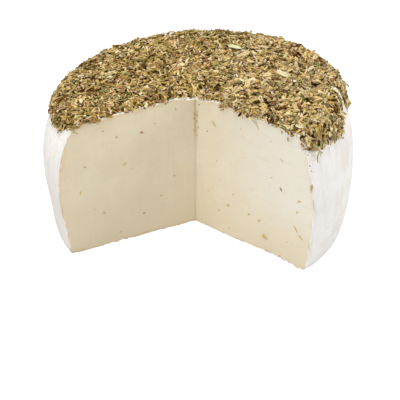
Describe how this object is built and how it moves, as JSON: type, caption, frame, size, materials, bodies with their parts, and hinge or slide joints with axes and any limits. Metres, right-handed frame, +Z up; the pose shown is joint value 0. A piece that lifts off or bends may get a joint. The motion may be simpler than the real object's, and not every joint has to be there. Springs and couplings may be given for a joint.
{
  "type": "sheep milk brie",
  "caption": "Soft white-rinded wheel of sheep's milk cheese with a wedge cut out and a coat of dried herbs over the top and shoulder.",
  "frame": {"origin": "on the wheel's axis, in the face it stands on", "axes": "+Z up; the missing wedge opens towards -Y; the top leans slightly, highest towards +X and a little -Y"},
  "size_m": [0.1448, 0.1181, 0.0706],
  "materials": {
    "cheese": "cream paste with fine knife marks and herb flecks, under a white velvety rind",
    "herbs": "dry, matt flakes and stalks of straw, olive, brown and green"
  },
  "bodies": {
    "root": {"cheese_wheel": "cheese", "herb_coat": "herbs"}
  },
  "joints": []
}
